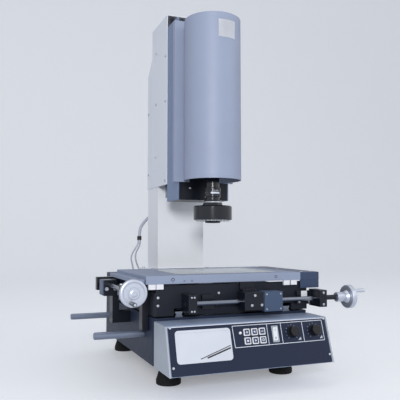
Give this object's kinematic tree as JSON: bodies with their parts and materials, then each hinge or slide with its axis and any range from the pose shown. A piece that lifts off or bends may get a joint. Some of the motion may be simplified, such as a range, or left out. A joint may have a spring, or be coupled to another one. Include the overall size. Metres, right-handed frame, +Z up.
{
  "type": "video measuring machine",
  "caption": "Bench video measuring machine: XY stage with handwheels on a cast base, column, hooded zoom camera with ring light, sloped control box.",
  "frame": {"origin": "centre of the stage glass's top face, under the lens, with every slide in its middle", "axes": "+Z up along the lens's axis, +X to the operator's right along the long stage travel, +Y away from the operator"},
  "size_m": [0.519, 0.5265, 0.776],
  "materials": {
    "dark_casting": "satin grey-blue casting paint",
    "black_metal": "black anodised, satin",
    "foot_rubber": "matte black rubber",
    "rod_steel": "ground steel",
    "column_paint": "pale grey powder coat",
    "panel_white": "white powder coat",
    "hood_paint": "blue-grey powder coat",
    "light_grey_paint": "light grey powder coat",
    "panel_navy": "dark blue printed panel",
    "plate_silver": "bare brushed plate",
    "stage_aluminium": "anodised, satin",
    "end_grey": "dark grey, satin",
    "stage_glass": "clear polished glass",
    "wheel_grey": "pale grey turned face",
    "grip_black": "black, satin",
    "white_plastic": "white",
    "key_grey": "dark blue key",
    "rocker_white": "white",
    "frame_black": "black",
    "knob_black": "black",
    "led_clear": "clear lens",
    "cable_grey": "grey cable sheath"
  },
  "bodies": {
    "frame": {"base_casting": "dark_casting", "rubber_feet": "foot_rubber", "carry_rods": "rod_steel", "contour_light": "black_metal", "light_window": "stage_glass", "fixed_rails": "rod_steel", "y_nut_block": "black_metal", "y_nut_cover": "hood_paint", "frame_screws": "rod_steel", "column_post": "column_paint", "column_side_panels": "panel_white", "column_cover": "panel_white", "control_box": "dark_casting", "box_sides": "light_grey_paint", "control_panel": "panel_navy", "name_plate": "plate_silver", "rocker_frame": "frame_black", "power_led": "led_clear", "cable_glands": "frame_black", "cable_plugs": "frame_black", "cable_sleeve": "cable_grey", "signal_wire": "cable_grey", "light_wire": "cable_grey"},
    "saddle": {"y_saddle": "dark_casting", "saddle_guides": "rod_steel", "x_drive_brackets": "black_metal", "y_drive_brackets": "black_metal"},
    "table": {"table_plate": "stage_aluminium", "stage_glass": "stage_glass", "table_right_end": "end_grey", "table_left_cover": "stage_aluminium", "scale_blocks": "white_plastic", "x_runners": "rod_steel", "x_nut_block": "black_metal", "x_nut_cover": "hood_paint"},
    "x_wheel": {"x_drive_rod": "rod_steel", "x_handwheel": "wheel_grey"},
    "x_grip": {"x_crank_grip": "grip_black"},
    "y_wheel": {"y_drive_rod": "rod_steel", "y_handwheel": "wheel_grey"},
    "y_grip": {"y_crank_grip": "grip_black"},
    "head": {"z_slide": "black_metal", "head_carriage": "black_metal", "head_side_sheets": "hood_paint", "head_hood": "hood_paint", "lens_barrel": "black_metal", "camera_body": "black_metal", "ring_light": "black_metal"},
    "zoom": {"zoom_ring": "black_metal"},
    "z_wheel": {"z_handwheel": "wheel_grey"},
    "z_grip": {"z_crank_grip": "grip_black"},
    "rocker": {"rocker_switch": "rocker_white"},
    "contour_dimmer": {"contour_knob": "knob_black"},
    "surface_dimmer": {"surface_knob": "knob_black"},
    "key_1": {"key_1": "key_grey"},
    "key_2": {"key_2": "key_grey"},
    "key_3": {"key_3": "key_grey"},
    "key_4": {"key_4": "key_grey"},
    "key_5": {"key_5": "key_grey"},
    "key_6": {"key_6": "key_grey"}
  },
  "joints": [
    {"name": "y_slide", "type": "slide", "parent": "frame", "child": "saddle", "axis": [0, 1, 0], "range_m": [-0.05, 0.05]},
    {"name": "x_slide", "type": "slide", "parent": "saddle", "child": "table", "axis": [1, 0, 0], "range_m": [-0.075, 0.075]},
    {"name": "y_wheel_turn", "type": "hinge", "parent": "saddle", "child": "y_wheel", "pos_m": [-0.1985, -0.1135, -0.028], "axis": [0, -1, 0], "range_deg": [-1805, 1805]},
    {"name": "x_wheel_turn", "type": "hinge", "parent": "saddle", "child": "x_wheel", "pos_m": [0.234, -0.125, -0.0495], "axis": [1, 0, 0], "range_deg": [-2705, 2705]},
    {"name": "y_grip_spin", "type": "hinge", "parent": "y_wheel", "child": "y_grip", "pos_m": [-0.2029, -0.1245, -0.04442], "axis": [0, -1, 0], "continuous": true},
    {"name": "x_grip_spin", "type": "hinge", "parent": "x_wheel", "child": "x_grip", "pos_m": [0.245, -0.13702, -0.03748], "axis": [1, 0, 0], "continuous": true},
    {"name": "z_slide", "type": "slide", "parent": "frame", "child": "head", "axis": [0, 0, 1], "range_m": [-0.03, 0.12]},
    {"name": "z_wheel_turn", "type": "hinge", "parent": "frame", "child": "z_wheel", "pos_m": [0.082, 0.21, 0.321], "axis": [-1, 0, 0], "range_deg": [-260, 1030]},
    {"name": "z_grip_spin", "type": "hinge", "parent": "z_wheel", "child": "z_grip", "pos_m": [0.093, 0.21, 0.304], "axis": [1, 0, 0], "continuous": true},
    {"name": "zoom_turn", "type": "hinge", "parent": "head", "child": "zoom", "pos_m": [0, 0, 0.159], "axis": [0, 0, 1], "range_deg": [-60, 120]},
    {"name": "rocker_tilt", "type": "hinge", "parent": "frame", "child": "rocker", "pos_m": [0.0452, -0.17291, -0.1034], "axis": [-1, 0, 0], "range_deg": [0, 11]},
    {"name": "contour_dial", "type": "hinge", "parent": "frame", "child": "contour_dimmer", "pos_m": [0.08, -0.17447, -0.10167], "axis": [0, -0.9548, 0.2972], "range_deg": [-140, 140]},
    {"name": "surface_dial", "type": "hinge", "parent": "frame", "child": "surface_dimmer", "pos_m": [0.125, -0.17447, -0.10167], "axis": [0, -0.9548, 0.2972], "range_deg": [-140, 140]},
    {"name": "key_1_press", "type": "slide", "parent": "frame", "child": "key_1", "axis": [0, 0.9548, -0.2972], "range_m": [0, 0.0008], "stiffness_N_per_m": 300},
    {"name": "key_2_press", "type": "slide", "parent": "frame", "child": "key_2", "axis": [0, 0.9548, -0.2972], "range_m": [0, 0.0008], "stiffness_N_per_m": 300},
    {"name": "key_3_press", "type": "slide", "parent": "frame", "child": "key_3", "axis": [0, 0.9548, -0.2972], "range_m": [0, 0.0008], "stiffness_N_per_m": 300},
    {"name": "key_4_press", "type": "slide", "parent": "frame", "child": "key_4", "axis": [0, 0.9548, -0.2972], "range_m": [0, 0.0008], "stiffness_N_per_m": 300},
    {"name": "key_5_press", "type": "slide", "parent": "frame", "child": "key_5", "axis": [0, 0.9548, -0.2972], "range_m": [0, 0.0008], "stiffness_N_per_m": 300},
    {"name": "key_6_press", "type": "slide", "parent": "frame", "child": "key_6", "axis": [0, 0.9548, -0.2972], "range_m": [0, 0.0008], "stiffness_N_per_m": 300}
  ],
  "couplings": [
    {"joint": "y_wheel_turn", "follows": "y_slide", "rad_per_m": 628.32},
    {"joint": "x_wheel_turn", "follows": "x_slide", "rad_per_m": 628.32},
    {"joint": "z_wheel_turn", "follows": "z_slide", "rad_per_m": 149.25}
  ]
}
